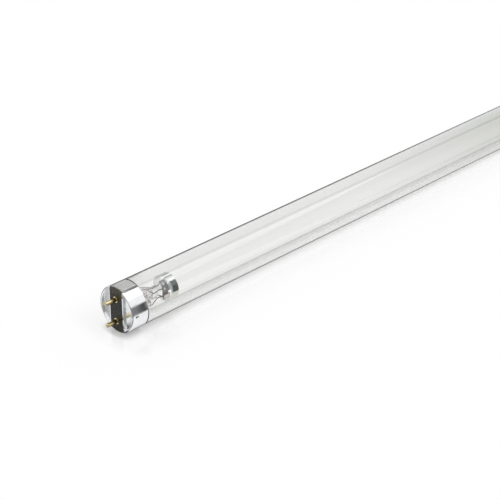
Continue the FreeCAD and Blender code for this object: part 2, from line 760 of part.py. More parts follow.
def make_end(builder, end, side, turn):
    """Everything that one end of the lamp carries."""
    make_cap_shell(builder, end, side, turn)
    make_pin_insulator(builder, end, side, turn)
    make_basing_cement(builder, end, side, turn)
    make_stem(builder, end, side, turn)
    make_exhaust_tube(builder, end, side, turn)
    for level, sign in (("upper", 1), ("lower", -1)):
        make_pin(builder, end, side, turn, level, sign)
        make_lead(builder, end, side, turn, level, sign)
    make_filament(builder, end, side, turn)
    make_shield(builder, end, side, turn)
    make_shield_support(builder, end, side, turn)


builder = Builder()
make_glass_tube(builder)
for end, side, turn in ENDS:
    make_end(builder, end, side, turn)
make_capsule_holder(builder, *ENDS[0])
make_mercury_capsule(builder, *ENDS[0])
make_capsule_loop(builder, *ENDS[0])
builder.write()
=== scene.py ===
import json
import logging
import math
from dataclasses import dataclass, fields
from enum import Enum
from typing import Any, Iterable, Sequence

import bmesh
import bpy
import numpy as np
from mathutils import Euler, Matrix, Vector


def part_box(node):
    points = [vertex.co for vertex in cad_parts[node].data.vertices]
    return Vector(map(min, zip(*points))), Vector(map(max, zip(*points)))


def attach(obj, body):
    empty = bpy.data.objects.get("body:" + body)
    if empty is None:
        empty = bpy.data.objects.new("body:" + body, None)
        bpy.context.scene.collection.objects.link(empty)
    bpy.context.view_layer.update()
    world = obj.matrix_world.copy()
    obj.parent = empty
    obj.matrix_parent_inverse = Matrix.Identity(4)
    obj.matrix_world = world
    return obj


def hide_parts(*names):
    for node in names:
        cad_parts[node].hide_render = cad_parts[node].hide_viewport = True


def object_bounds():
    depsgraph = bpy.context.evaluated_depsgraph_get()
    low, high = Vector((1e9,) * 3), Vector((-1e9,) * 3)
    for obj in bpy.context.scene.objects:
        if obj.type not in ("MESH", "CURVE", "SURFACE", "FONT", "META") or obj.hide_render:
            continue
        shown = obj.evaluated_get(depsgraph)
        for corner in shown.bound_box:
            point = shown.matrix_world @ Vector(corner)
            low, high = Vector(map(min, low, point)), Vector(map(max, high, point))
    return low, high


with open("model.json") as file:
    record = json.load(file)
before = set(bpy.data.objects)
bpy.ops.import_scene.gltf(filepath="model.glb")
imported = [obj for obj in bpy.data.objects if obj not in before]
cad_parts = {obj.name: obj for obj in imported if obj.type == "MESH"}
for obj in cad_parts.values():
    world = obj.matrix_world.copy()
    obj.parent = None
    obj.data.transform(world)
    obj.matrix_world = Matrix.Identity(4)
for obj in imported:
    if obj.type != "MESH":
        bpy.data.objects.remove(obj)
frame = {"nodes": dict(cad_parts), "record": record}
cad_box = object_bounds()

MM = 0.001
ROOT = "root"
CAP_FACE = 218.7  # from the lamp's middle to a cap's outer face, in millimetres
log = logging.getLogger("lamp")

Colour = tuple[float, float, float]
Point = tuple[float, float, float]
Span = tuple[float, float]  # where a change starts and where it ends
Band = tuple[float, float, float]  # a band's start, its end and the width of its soft edges
Outline = list[tuple[float, float]]
Socket = bpy.types.NodeSocket
Materials = dict[str, bpy.types.Material]

WHITE: Colour = (1.0, 1.0, 1.0)
BLACK: Colour = (0.0, 0.0, 0.0)


class End(Enum):
    """The two ends of the lamp, with the way that each faces along X."""

    NEAR = -1
    FAR = 1

    @property
    def label(self) -> str:
        """The word that starts the names of this end's pieces."""
        return self.name.lower()


class Value:
    """A number given by a node, on which Python's operators add Math nodes."""

    def __init__(self, graph: "Graph", socket: Socket) -> None:
        """Wraps a socket of a graph."""
        self.graph = graph
        self.socket = socket

    def math(self, operation: str, *others: Any) -> "Value":
        """Adds a Math node.

        Args:
            operation: The node's operation.
            others: Numbers or values for the sockets after the first.

        Returns:
            The node's result.
        """
        inputs = dict(enumerate((self, *others)))
        made = self.graph.node("ShaderNodeMath", {"operation": operation}, inputs)
        return Value(self.graph, made.outputs[0])

    def __add__(self, other: Any) -> "Value":
        """Adds."""
        return self.math("ADD", other)

    __radd__ = __add__

    def __sub__(self, other: Any) -> "Value":
        """Takes away."""
        return self.math("SUBTRACT", other)

    def __rsub__(self, other: Any) -> "Value":
        """Takes this value away from a number."""
        return self.graph.number(other).math("SUBTRACT", self)

    def __mul__(self, other: Any) -> "Value":
        """Multiplies."""
        return self.math("MULTIPLY", other)

    __rmul__ = __mul__

    def __truediv__(self, other: Any) -> "Value":
        """Divides."""
        return self.math("DIVIDE", other)

    def __rtruediv__(self, other: Any) -> "Value":
        """Divides a number by this value."""
        return self.graph.number(other).math("DIVIDE", self)

    def __abs__(self) -> "Value":
        """Drops the sign."""
        return self.math("ABSOLUTE")

    def to(self, first: float, last: float) -> "Value":
        """Returns the first number where this is 0 and the last where it is 1."""
        return first + self * (last - first)

    def rise(self, low: float, high: float) -> "Value":
        """Returns a smooth step from 0 at low to 1 at high."""
        made = self.graph.node(
            "ShaderNodeMapRange", {"interpolation_type": "SMOOTHSTEP"},
            {"Value": self, "From Min": low, "From Max": high, "To Min": 0.0, "To Max": 1.0})
        return Value(self.graph, made.outputs[0])

    def between(self, low: float, high: float, edge: float) -> "Value":
        """Returns 1 inside a band, with a soft edge of the given width outside it."""
        return self.rise(low - edge, low) * (1 - self.rise(high, high + edge))


Place = tuple[Value, Value, Value]


def hypot(first: Value, second: Value) -> Value:
    """Returns the length of a vector with two parts."""
    return (first * first + second * second).math("SQRT")


class Graph:
    """A node tree, filled by one method."""

    def __init__(self, tree: bpy.types.NodeTree) -> None:
        """Empties a node tree."""
        self.tree = tree
        self.tree.nodes.clear()

    @classmethod
    def on(cls, owner: Any) -> "Graph":
        """Returns the graph of a material or a world."""
        owner.use_nodes = True
        return cls(owner.node_tree)

    def node(self, kind: str, settings: dict[str, Any] | None = None,
             values: dict[Any, Any] | None = None) -> bpy.types.Node:
        """Adds a node.

        Args:
            kind: The node's type.
            settings: Properties of the node, which are set first.
            values: What each socket gets, by name or number.

        Returns:
            The node.
        """
        made = self.tree.nodes.new(kind)
        for name, setting in (settings or {}).items():
            setattr(made, name, setting)
        for name, value in (values or {}).items():
            self.feed(made.inputs[name], value)
        return made

    def feed(self, target: Socket, value: Any) -> None:
        """Links a socket, or sets its constant.

        Args:
            target: The socket.
            value: A Value or a socket to link, or a number, a colour or another constant.
        """
        source = value.socket if isinstance(value, Value) else value
        if isinstance(source, Socket):
            self.tree.links.new(source, target)
        elif target.type == "RGBA":
            target.default_value = (*source, 1.0)
        else:
            target.default_value = source

    def number(self, value: float) -> Value:
        """Adds a node that gives a constant.

        Args:
            value: The constant.

        Returns:
            The constant as a value.
        """
        output = self.node("ShaderNodeValue").outputs[0]
        output.default_value = value
        return Value(self, output)

    def place(self) -> Socket:
        """Returns the point on the piece, in millimetres."""
        point = self.node("ShaderNodeTexCoord").outputs["Object"]
        return self.node("ShaderNodeVectorMath", {"operation": "SCALE"},
                         {0: point, "Scale": 1 / MM}).outputs[0]

    def axes(self, place: Socket) -> Place:
        """Splits a vector into its three numbers."""
        split = self.node("ShaderNodeSeparateXYZ", values={0: place})
        return tuple(Value(self, output) for output in split.outputs)

    def vector(self, x: Any, y: Any, z: Any) -> Socket:
        """Joins three numbers into a vector."""
        return self.node("ShaderNodeCombineXYZ", values={0: x, 1: y, 2: z}).outputs[0]

    def noise(self, place: Socket, scale: float, detail: float = 3.0,
              roughness: float = 0.5) -> Value:
        """Returns a cloudy pattern between 0 and 1."""
        made = self.node("ShaderNodeTexNoise", {}, {
            "Vector": place, "Scale": scale, "Detail": detail, "Roughness": roughness})
        return Value(self, made.outputs[0])

    def mix(self, share: Any, first: Any, second: Any) -> Socket:
        """Mixes two colours."""
        made = self.node("ShaderNodeMix", {"data_type": "RGBA"}, {0: share, 6: first, 7: second})
        return made.outputs[2]

    def bump(self, height: Value, distance: float) -> Socket:
        """Returns a normal bent by a height, between 0 and 1, of a distance in metres."""
        return self.node("ShaderNodeBump", {}, {"Height": height, "Distance": distance}).outputs[0]

    def principled(self, values: dict[str, Any]) -> Socket:
        """Adds the shader that every finish ends in."""
        return self.node("ShaderNodeBsdfPrincipled", {}, values).outputs[0]

    def clear(self, colour: Colour = WHITE) -> Socket:
        """Adds a shader that lets light of a colour through."""
        return self.node("ShaderNodeBsdfTransparent", {}, {"Color": colour}).outputs[0]

    def glow(self, colour: Any) -> Socket:
        """Adds a shader that shows a plain colour."""
        return self.node("ShaderNodeEmission", {}, {"Color": colour}).outputs[0]

    def mixed(self, share: Any, first: Socket, second: Socket) -> Socket:
        """Mixes two shaders."""
        return self.node("ShaderNodeMixShader", {}, {0: share, 1: first, 2: second}).outputs[0]

    def output(self, surface: Socket, **others: Socket) -> None:
        """Ends a material's graph."""
        self.node("ShaderNodeOutputMaterial", {}, {"Surface": surface, **others})


class Network(Graph):
    """A Geometry Nodes tree with named inputs."""

    def __init__(self, name: str, inputs: dict[str, float]) -> None:
        """Makes the tree and its sockets.

        Args:
            name: The tree's name.
            inputs: Each named input with its value; whole numbers make whole-number sockets.
        """
        super().__init__(bpy.data.node_groups.new(name, "GeometryNodeTree"))
        self.values = inputs
        sockets = self.tree.interface
        sockets.new_socket("Geometry", in_out="INPUT", socket_type="NodeSocketGeometry")
        for label, value in inputs.items():
            kind = "NodeSocketInt" if isinstance(value, int) else "NodeSocketFloat"
            sockets.new_socket(label, in_out="INPUT", socket_type=kind)
        sockets.new_socket("Geometry", in_out="OUTPUT", socket_type="NodeSocketGeometry")
        self.entry = self.node("NodeGroupInput")

    def given(self, label: str) -> Value:
        """Returns a named input."""
        return Value(self, self.entry.outputs[label])

    def tube(self, route: Socket, radius: Value, around: int) -> Socket:
        """Gives a curve a round section with closed ends.

        Args:
            route: The curve.
            radius: The section's radius.
            around: How many corners the section has.

        Returns:
            The tube.
        """
        ring = self.node("GeometryNodeCurvePrimitiveCircle", {},
                         {"Resolution": around, "Radius": radius}).outputs[0]
        return self.node("GeometryNodeCurveToMesh", {},
                         {0: route, "Profile Curve": ring, "Fill Caps": True}).outputs[0]

    def end(self, geometry: Socket, material: bpy.types.Material) -> None:
        """Ends the tree in real geometry.

        Args:
            geometry: What the tree has made.
            material: The material that it gets.
        """
        smooth = self.node("GeometryNodeSetShadeSmooth", {}, {"Geometry": geometry}).outputs[0]
        real = self.node("GeometryNodeRealizeInstances", {}, {"Geometry": smooth}).outputs[0]
        dressed = self.node("GeometryNodeSetMaterial", {}, {"Geometry": real, "Material": material})
        self.node("NodeGroupOutput", {}, {0: dressed.outputs[0]})

    def grow(self, base: bpy.types.Object) -> None:
        """Runs the tree on an object and keeps the result as its mesh.

        Args:
            base: The object, whose mesh is what the tree starts from.
        """
        modifier = base.modifiers.new(self.tree.name, "NODES")
        modifier.node_group = self.tree
        for item in self.tree.interface.items_tree:
            if item.in_out == "INPUT" and item.name in self.values:
                modifier[item.identifier] = self.values[item.name]
        seen = base.evaluated_get(bpy.context.evaluated_depsgraph_get())
        grown = bpy.data.meshes.new_from_object(seen)
        base.modifiers.clear()
        base.data = grown
        point_outwards(base)


@dataclass(frozen=True)
class Finish:
    """A surface of the lamp. Each kind of finish paints its own graph.

    Lengths in a finish are in millimetres, but the height of a bump is in metres.
    """

    name: str

    def build(self) -> bpy.types.Material:
        """Makes the material.

        Returns:
            The painted material.
        """
        material = bpy.data.materials.new(self.name)
        self.paint(Graph.on(material))
        return material

    def paint(self, graph: Graph) -> None:
        """Fills the graph; each kind of finish has its own."""
        raise NotImplementedError


@dataclass(frozen=True)
class ClearGlass(Finish):
    """Clear glass with faint draw lines along the lamp."""

    tint: Colour = (0.992, 0.992, 0.990)
    shade: Colour = (0.955, 0.965, 0.96)
    absorbed: Colour = (68.0, 66.0, 69.0)  # of each colour, per metre of glass
    line_scale: float = 1.1
    line_height: float = 0.006 * MM
    stretch: float = 0.004

    def paint(self, graph: Graph) -> None:
        """Glass for sight, a faint tint for lamp light, and absorption with depth.

        Args:
            graph: The material's empty graph.
        """
        x, y, z = graph.axes(graph.place())
        lines = graph.noise(graph.vector(x * self.stretch, y, z), self.line_scale, detail=2.0)
        glass = graph.principled({
            "Base Color": self.tint, "Roughness": 0.0, "IOR": 1.5, "Transmission Weight": 1.0,
            "Normal": graph.bump(lines, self.line_height)})
        densest = max(self.absorbed)
        colour = tuple(1 - part / densest for part in self.absorbed)
        depth = graph.node("ShaderNodeVolumeAbsorption", {}, {"Color": colour, "Density": densest})
        shadow = graph.node("ShaderNodeLightPath").outputs["Is Shadow Ray"]
        surface = graph.mixed(shadow, glass, graph.clear(self.shade))
        graph.output(surface, Volume=depth.outputs[0])


@dataclass(frozen=True)
class CapAluminium(Finish):
    """Bright pressed sheet with fine lines round it and a light haze."""

    bright: Colour = (0.90, 0.905, 0.915)
    dull: Colour = (0.80, 0.81, 0.83)
    dent_shade: Colour = (0.10, 0.10, 0.10)
    rough: Span = (0.07, 0.16)
    worn: float = 0.08
    pressed: float = 1.4
    haze_share: float = 0.7
    line_share: float = 0.2
    line_height: float = 0.0012 * MM
    skirt_start: Span = (0.6, 1.4)
    rub_fade: Span = (1.0, 8.24)
    dish_edge: Span = (12.0, 12.5)
    dent_start: Span = (1.4, 1.8)
    dent_edge: Span = (12.55, 12.9)

    def paint(self, graph: Graph) -> None:
        """Lines round the cap, with clouds of haze in them, and painted shade in its dents and
        inside it.

        Args:
            graph: The material's empty graph.
        """
        place = graph.place()
        x, y, z = graph.axes(place)
        around = y.math("ARCTAN2", z)
        rings = graph.vector(x * 9.0, around * 0.6, 0.0)
        lines = graph.noise(rings, scale=1.0, detail=4.0, roughness=0.6)
        haze = graph.noise(place, scale=0.35, detail=4.0, roughness=0.55)
        share = haze.rise(0.35, 0.75) * self.haze_share + lines * self.line_share
        inwards, radius = CAP_FACE - abs(x), hypot(y, z)
        rubbed = (1 - inwards.rise(*self.rub_fade)) * inwards.rise(*self.skirt_start)
        dish = 1 - radius.rise(*self.dish_edge)
        # painted shade: below the skirt's outer skin, in its dents and inside the cap, the metal
        # turns dark
        dent = inwards.rise(*self.dent_start) * (1 - radius.rise(*self.dent_edge))
        colour = graph.mix(share, self.bright, self.dull)
        graph.output(graph.principled({
            "Base Color": graph.mix(dent, colour, self.dent_shade), "Metallic": 1.0,
            "Roughness": (share.to(*self.rough) + rubbed * self.worn) * dish.to(1.0, self.pressed),
            "Normal": graph.bump(lines, self.line_height)}))


@dataclass(frozen=True)
class BlackInsulator(Finish):
    """Moulded black sheet with a fine matt grain, worn ends and a painted pale sheen on its end
    faces.

    Its edges are distances from the lamp's axis.
    """

    deep: Colour = (0.009, 0.012, 0.009)
    worn: Colour = (0.14, 0.125, 0.092)
    cut: Colour = (0.50, 0.50, 0.48)
    rough: Span = (0.42, 0.62)
    mottle_share: float = 0.4
    wear_share: float = 0.7
    wear_edge: Span = (6.5, 12.0)
    sheen_edge: Span = (12.84, 12.94)
    sheen_share: Span = (0.7, 1.1)
    grain_height: float = 0.012 * MM

    def paint(self, graph: Graph) -> None:
        """Grain, faint mottling, worn ends and a painted sheen on the end faces.

        Args:
            graph: The material's empty graph.
        """
        place = graph.place()
        _, y, z = graph.axes(place)
        mottle = graph.noise(place, scale=0.9, detail=4.0, roughness=0.6)
        grain = graph.noise(place, scale=9.0, detail=2.0)
        radius = hypot(y, z)
        wear = radius.rise(*self.wear_edge) * mottle
        share = mottle.rise(0.45, 0.75) * self.mottle_share + wear * self.wear_share
        # painted highlight: the end faces at the full radius turn pale, as if they caught the light
        end = radius.rise(*self.sheen_edge) * mottle.to(*self.sheen_share)
        colour = graph.mix(share, self.deep, self.worn)
        graph.output(graph.principled({
            "Base Color": graph.mix(end, colour, self.cut),
            "Roughness": grain.to(*self.rough), "Normal": graph.bump(grain, self.grain_height)}))


@dataclass(frozen=True)
class PinBrass(Finish):
    """Turned brass with clouds of tarnish, darker by the collar with a painted reflection of the
    black insulator.
    """

    bright: Colour = (0.84, 0.71, 0.42)
    tarnish_and_reflection: Colour = (0.20, 0.16, 0.035)
    rough: Span = (0.16, 0.30)
    root_start: Span = (0.3, 0.6)
    root_end: Span = (1.6, 4.4)
    root_share: float = 0.75
    cloud_share: Span = (-0.05, 0.3)
    line_height: float = 0.003 * MM

    def paint(self, graph: Graph) -> None:
        """Turning lines round each pin, clouds of tarnish, and a painted dark reflection of the
        black insulator towards its root.

        Args:
            graph: The material's empty graph.
        """
        place = graph.place()
        x, _, _ = graph.axes(place)
        outside = abs(x) - CAP_FACE
        lines = graph.noise(graph.vector(x * 14.0, 0.0, 0.0), scale=1.0)
        clouds = graph.noise(place, scale=1.3, roughness=0.6)
        # painted reflection: the pin darkens near its root as if it mirrored the black insulator
        root = outside.rise(*self.root_start) * (1 - outside.rise(*self.root_end))
        share = root * self.root_share + clouds.to(*self.cloud_share)
        graph.output(graph.principled({
            "Base Color": graph.mix(share.math("MINIMUM", 1.0), self.bright, self.tarnish_and_reflection),
            "Metallic": 1.0, "Roughness": clouds.to(*self.rough),
            "Normal": graph.bump(lines, self.line_height)}))


@dataclass(frozen=True)
class Powder(Finish):
    """A chalky surface: the cement, and the oxide on the coils."""

    pale: Colour = (0.82, 0.78, 0.70)
    dark: Colour = (0.62, 0.57, 0.48)
    rough: Span = (0.85, 0.95)
    scale: float = 2.2
    fineness: float = 7.0
    grain_height: float = 0.03 * MM

    def paint(self, graph: Graph) -> None:
        """Clouds of two tones under a rough grain.

        Args:
            graph: The material's empty graph.
        """
        place = graph.place()
        clouds = graph.noise(place, self.scale, detail=5.0, roughness=0.65)
        grit = graph.noise(place, self.scale * self.fineness, roughness=0.7)
        graph.output(graph.principled({
            "Base Color": graph.mix(clouds.rise(0.35, 0.7), self.pale, self.dark),
            "Roughness": grit.to(*self.rough), "Normal": graph.bump(grit, self.grain_height)}))


@dataclass(frozen=True)
class DrawnMetal(Finish):
    """Drawn or rolled metal with lengthwise scratches and a cloudy oxide."""

    clean: Colour = (0.62, 0.62, 0.60)
    oxide: Colour = (0.30, 0.29, 0.27)
    rough: Span = (0.24, 0.42)
    cover: Span = (0.35, 0.7)
    scale: float = 0.8
    patch_share: float = 0.8
    scratch_height: float = 0.002 * MM

    def paint(self, graph: Graph) -> None:
        """Scratches along the lamp and patches of oxide.

        Args:
            graph: The material's empty graph.
        """
        place = graph.place()
        x, y, z = graph.axes(place)
        scratches = graph.noise(graph.vector(x * 0.4, y * 6.0, z * 6.0), scale=1.0)
        clouds = graph.noise(place, self.scale, detail=4.0, roughness=0.6)
        share = (clouds.rise(*self.cover) * self.patch_share
                 + scratches * (1 - self.patch_share))
        graph.output(graph.principled({
            "Base Color": self.colour(graph, share, x), "Metallic": 1.0,
            "Roughness": share.to(*self.rough),
            "Normal": graph.bump(scratches, self.scratch_height)}))

    def colour(self, graph: Graph, share: Value, x: Value) -> Socket:
        """Returns the metal's colour under a share of oxide."""
        return graph.mix(share, self.clean, self.oxide)


@dataclass(frozen=True)
class HolderStrip(DrawnMetal):
    """Dull strip with a painted highlight on its tab over the ring."""

    tab_highlight: Colour = (0.42, 0.44, 0.455)
    highlight_start: Span = (30.3, 30.8)

    def colour(self, graph: Graph, share: Value, x: Value) -> Socket:
        """Returns the strip's colour, with a painted highlight on the tab."""
        inwards = CAP_FACE - abs(x)
        # painted highlight: the tab, past this far in, is a paler bluish grey
        return graph.mix(inwards.rise(*self.highlight_start), super().colour(graph, share, x), self.tab_highlight)


@dataclass(frozen=True)
class ShieldStrip(Finish):
    """Bright rolled strip, blackened on the side that took the discharge.

    Turns are in degrees round the lamp, and starts are distances inwards from the cap's face.
    """

    inside: Colour = (0.86, 0.865, 0.855)
    bright: Colour = (0.65, 0.665, 0.66)
    edge: Colour = (0.50, 0.525, 0.55)
    stained: Colour = (0.105, 0.13, 0.122)
    burnt: Colour = (0.012, 0.014, 0.015)
    straw: Colour = (0.72, 0.74, 0.66)
    skin: Span = (7.06, 7.14)
    patch_turn: Band = (-86.0, -44.0, 7.0)
    patch_start: Span = (32.24, 32.94)
    patch_share: Span = (0.8, 1.1)
    corner_turn: Span = (56.0, 68.0)
    corner_start: Span = (32.0, 33.8)
    straw_turn: Band = (-150.0, -94.0, 6.0)
    lap_turns: tuple[Band, Band] = ((-17.0, -11.0, 1.0), (-2.0, 4.0, 1.0))
    lap_share: float = 0.9
    wander: float = 10.0
    drift: float = 0.04
    inner_rough: float = 0.42
    rolled_rough: float = -0.2
    patch_rough: float = 0.2
    scratch_rough: float = 0.1
    scratch_height: float = 0.003 * MM

    def paint(self, graph: Graph) -> None:
        """A dark patch on the outside, burnt at its lower corner, over bright metal.

        Args:
            graph: The material's empty graph.
        """
        place = graph.place()
        x, y, z = graph.axes(place)
        inwards = CAP_FACE - abs(x)
        across = y * (x / abs(x)) * -1.0
        angle = across.math("ARCTAN2", z) * math.degrees(1.0)
        outside = hypot(y, z).rise(*self.skin)
        clouds = graph.noise(place, scale=0.9, detail=4.0, roughness=0.6)
        scratches = graph.noise(graph.vector(x * 6.0, angle * 0.02, 0.0), scale=1.0)
        wander = (clouds - 0.5) * self.wander
        turned = angle + wander
        side = turned.between(*self.patch_turn) * outside
        patch = side * (inwards + wander * self.drift).rise(*self.patch_start)
        corner = (wander - angle).rise(*self.corner_turn) * inwards.rise(*self.corner_start) * patch
        first, second = (angle.between(*turn) for turn in self.lap_turns)
        colour = graph.mix(outside, self.inside, self.bright)
        for share, tone in ((turned.between(*self.straw_turn) * outside, self.straw),
                            (side, self.edge),
                            ((first + second) * outside * self.lap_share, self.stained),
                            (patch * clouds.to(*self.patch_share), self.stained),
                            (corner, self.burnt)):
            colour = graph.mix(share, colour, tone)
        graph.output(graph.principled({
            "Base Color": colour, "Metallic": 1.0,
            "Roughness": (self.inner_rough + outside * self.rolled_rough
                          + patch * self.patch_rough + scratches * self.scratch_rough),
            "Normal": graph.bump(scratches, self.scratch_height)}))


@dataclass(frozen=True)
class MilkyGlass(Finish):
    """The small capsule: pinkish white glass that lets some light in."""

    pale: Colour = (0.95, 0.87, 0.84)
    rosy: Colour = (0.90, 0.74, 0.70)
    rough: Span = (0.18, 0.28)
    wave_height: float = 0.01 * MM

    def paint(self, graph: Graph) -> None:
        """Soft clouds under a smooth skin.

        Args:
            graph: The material's empty graph.
        """
        clouds = graph.noise(graph.place(), scale=1.1)
        graph.output(graph.principled({
            "Base Color": graph.mix(clouds.rise(0.4, 0.75), self.pale, self.rosy),
            "Roughness": clouds.to(*self.rough), "Transmission Weight": 0.35, "IOR": 1.45,
            "Coat Weight": 0.6, "Coat Roughness": 0.05,
            "Normal": graph.bump(clouds, self.wave_height)}))


@dataclass(frozen=True)
class Finishes:
    """The lamp's finishes: one for each material slot of the record, and the bare welds."""

    tube_glass: Finish = ClearGlass("tube_glass")
    stem_glass: Finish = ClearGlass("stem_glass", absorbed=(7.0, 12.0, 11.0), line_scale=0.7,
                                    line_height=0.03 * MM, stretch=0.6)
    cap_aluminium: Finish = CapAluminium("cap_aluminium")
    insulator_black: Finish = BlackInsulator("insulator_black")
    pin_brass: Finish = PinBrass("pin_brass")
    basing_cement: Finish = Powder("basing_cement")
    lead_wire: Finish = DrawnMetal("lead_wire", clean=(0.30, 0.29, 0.27),
                                   oxide=(0.09, 0.08, 0.075))
    coated_coil: Finish = Powder("coated_coil", pale=(0.90, 0.89, 0.86), dark=(0.74, 0.71, 0.66),
                                 scale=3.0, grain_height=0.05 * MM)
    shield_strip: Finish = ShieldStrip("shield_strip")
    holder_strip: Finish = HolderStrip("holder_strip", clean=(0.19, 0.185, 0.19),
                                       oxide=(0.10, 0.105, 0.105), rough=(0.34, 0.5))
    capsule_glass: Finish = MilkyGlass("capsule_glass")
    oxidised_wire: Finish = DrawnMetal("oxidised_wire", clean=(0.075, 0.036, 0.018),
                                       oxide=(0.022, 0.011, 0.006), rough=(0.3, 0.5))
    weld_nugget: Finish = DrawnMetal("weld_nugget", clean=(0.62, 0.62, 0.63),
                                     oxide=(0.42, 0.42, 0.43), rough=(0.3, 0.45))

    def materials(self) -> Materials:
        """Builds every finish, by name."""
        return {part.name: getattr(self, part.name).build() for part in fields(self)}


def add_mesh(name: str, points: Iterable[Sequence[float]], faces: Iterable[Sequence[int]],
             material: bpy.types.Material) -> bpy.types.Object:
    """Makes a smooth object from points and faces.

    Args:
        name: The object's name.
        points: The places of its corners, in metres.
        faces: The corners of each face.
        material: Its material.

    Returns:
        The object, linked to the scene.
    """
    mesh = bpy.data.meshes.new(name)
    mesh.from_pydata([tuple(point) for point in points], [], [tuple(face) for face in faces])
    mesh.validate()
    mesh.shade_smooth()
    mesh.materials.append(material)
    made = bpy.data.objects.new(name, mesh)
    bpy.context.scene.collection.objects.link(made)
    return made


def point_outwards(piece: bpy.types.Object) -> None:
    """Turns every face of a closed piece outwards.

    Args:
        piece: The piece.
    """
    mesh = bmesh.new()
    mesh.from_mesh(piece.data)
    bmesh.ops.recalc_face_normals(mesh, faces=mesh.faces)
    mesh.to_mesh(piece.data)
    mesh.free()


def fit(piece: bpy.types.Object, slot: str, *replaced: str) -> None:
    """Fastens a finished piece to the lamp.

    Args:
        piece: The piece.
        slot: The material slot of the record that it takes its finish from; not used.
        replaced: The nodes that it stands for.
    """
    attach(piece, ROOT)
    if replaced:
        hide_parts(*replaced)
    log.info("%s: %d faces", piece.name, len(piece.data.polygons))


def cap_face(end: End) -> float:
    """Returns where the outer face of a cap lies along X, in metres."""
    low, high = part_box(f"{end.label}_cap_shell")
    return low.x if end is End.NEAR else high.x


def quarter(centre: tuple[float, float], radius: float, first: float, last: float,
            steps: int) -> Outline:
    """Returns points on an arc.

    Args:
        centre: The arc's centre, (distance inwards, radius), in metres.
        radius: The arc's radius.
        first: The angle of its first point, in degrees.
        last: The angle of its last point.
        steps: How many steps it takes.

    Returns:
        The points, first and last ones included.
    """
    angles = np.radians(np.linspace(first, last, steps + 1))
    return [(centre[0] + radius * math.cos(a), centre[1] + radius * math.sin(a)) for a in angles]


@dataclass
class GlassTube:
    """The long clear tube, narrowed under each cap and turned in at its ends."""

    wall: float = 0.9 * MM
    neck_inset: float = 0.7 * MM
    shoulder_setback: float = 10.32 * MM
    shoulder_length: float = 1.0 * MM
    end_round: float = 2.6 * MM
    seal_lip: float = 0.6 * MM
    around: int = 288
    arc_steps: int = 6
    hold: float = 1.5 * MM
    slot: str = "tube_glass"
    node: str = "glass_tube"

    def shoulder(self, radius: float, drop: float) -> Outline:
        """Returns the S of one shoulder, from the full width down to the neck.

        Args:
            radius: The tube's radius.
            drop: How far the line lies inside the tube's outer surface.

        Returns:
            Points of (x, radius), with one more at each end to hold it straight.
        """
        start = cap_face(End.NEAR) + self.shoulder_setback
        end = start + self.shoulder_length
        half, rise = self.shoulder_length / 2, self.neck_inset / 2
        bend = (half ** 2 + rise ** 2) / (2 * rise)
        turn = math.degrees(math.asin(half / bend))
        top, neck = radius - drop, radius - self.neck_inset - drop
        upper = quarter((end, top - bend), bend, 90, 90 + turn, self.arc_steps)
        lower = quarter((start, neck + bend), bend, turn - 90, -90, self.arc_steps)
        return [(end + self.hold, top), *upper, *lower[1:], (start - self.hold, neck)]

    def near_end(self, low: Vector, high: Vector) -> Outline:
        """Returns the wall's outline at the near end, from the bore round to the outside.

        Args:
            low: The lowest corner of the tube's box.
            high: The highest corner.

        Returns:
            Points of (x, radius).
        """
        radius, start = high.z, low.x
        neck = radius - self.neck_inset
        seal = neck - self.end_round - self.seal_lip
        corner = (start + self.end_round, neck - self.end_round)
        inner = quarter(corner, self.end_round - self.wall, 90, 180, self.arc_steps)
        outer = quarter(corner, self.end_round, 180, 90, self.arc_steps)
        return [*self.shoulder(radius, self.wall), *inner, (start + self.wall, seal), (start, seal),
                *outer, *reversed(self.shoulder(radius, 0.0))]

    def build(self, materials: Materials) -> None:
        """Turns the whole outline about the lamp's axis.

        Args:
            materials: The finishes' materials.
        """
        near = self.near_end(*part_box(self.node))
        outline = [*near, *((-x, r) for x, r in reversed(near))]
        angles = np.linspace(0, 2 * math.pi, self.around, endpoint=False)
        points = [(x, r * math.sin(a), r * math.cos(a)) for x, r in outline for a in angles]
        faces = []
        for ring in range(len(outline)):
            start = ring * self.around
            other = (ring + 1) % len(outline) * self.around
            for step in range(self.around):
                after = (step + 1) % self.around
                faces.append((start + step, start + after, other + after, other + step))
        piece = add_mesh(f"{self.node}_drawn", points, faces, materials[self.slot])
        point_outwards(piece)
        fit(piece, self.slot, self.node)


